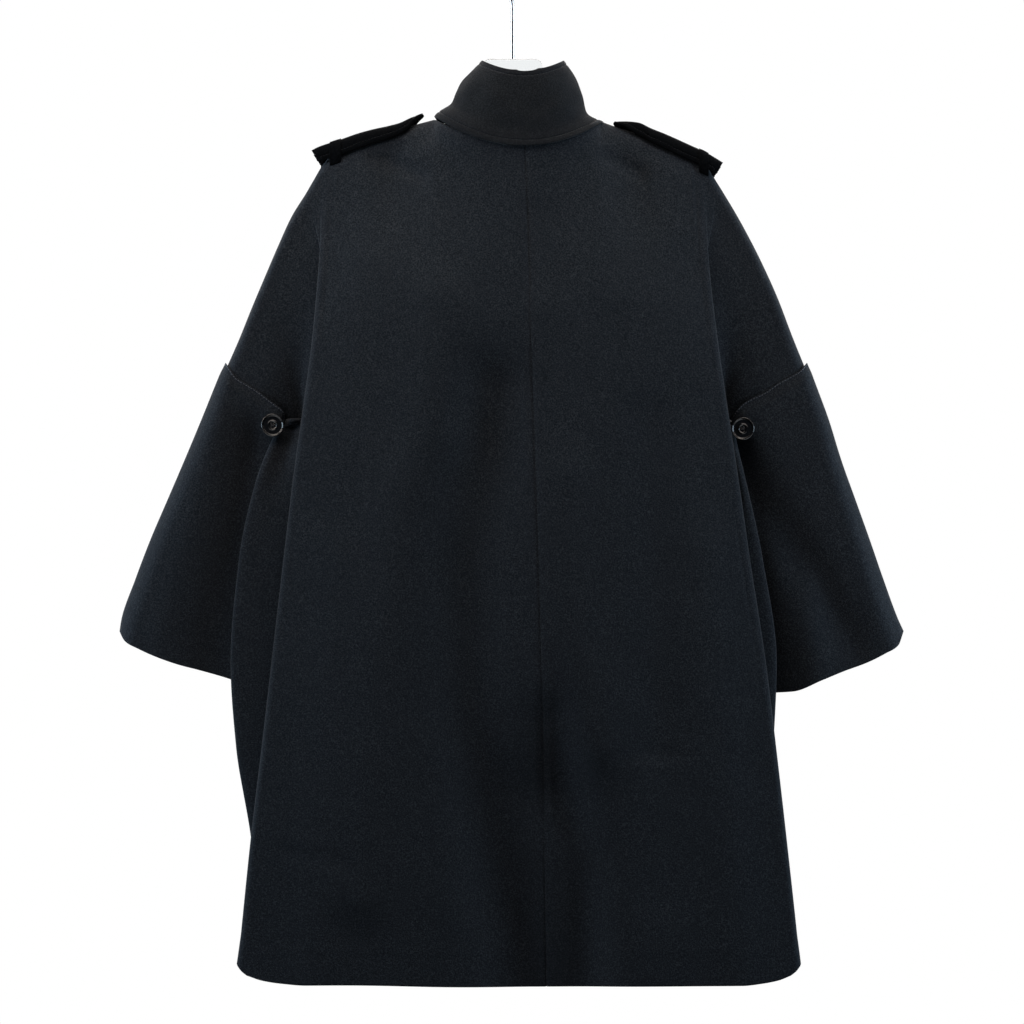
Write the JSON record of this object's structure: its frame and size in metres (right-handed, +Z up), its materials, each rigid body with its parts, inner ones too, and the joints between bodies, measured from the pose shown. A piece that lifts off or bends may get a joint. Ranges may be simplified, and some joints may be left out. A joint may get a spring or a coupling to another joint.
{
  "type": "double-breasted coat on a clear hanger",
  "caption": "Wide double-breasted black wool coat with a stand collar, shoulder straps, cape-like back and bell sleeves, hanging on a clear hanger with a wire hook.",
  "frame": {"origin": "the point inside the top of the hanger's hook that bears on its rail", "axes": "+Z up, +X towards the wearer's left, -Y the way the coat's front faces"},
  "size_m": [0.8238, 0.1496, 1.1009],
  "materials": {
    "black_wool": "matt double-faced wool with a short nap",
    "black_button": "polished",
    "clear_acrylic": "clear, polished",
    "steel_wire": "polished"
  },
  "bodies": {
    "root": {"back_left": "black_wool", "back_right": "black_wool", "front_left": "black_wool", "front_right": "black_wool", "sleeve_left": "black_wool", "sleeve_right": "black_wool", "collar": "black_wool", "shoulder_strap_left": "black_wool", "shoulder_strap_right": "black_wool", "keeper_left": "black_wool", "keeper_right": "black_wool", "strap_button_left": "black_button", "strap_button_right": "black_button", "sleeve_button_left": "black_button", "sleeve_button_right": "black_button", "front_button_outer_1": "black_button", "front_button_outer_2": "black_button", "front_button_outer_3": "black_button", "front_button_outer_4": "black_button", "front_button_inner_1": "black_button", "front_button_inner_2": "black_button", "front_button_inner_3": "black_button", "front_button_inner_4": "black_button", "hanger": "clear_acrylic", "hanger_hook": "steel_wire"}
  },
  "joints": []
}
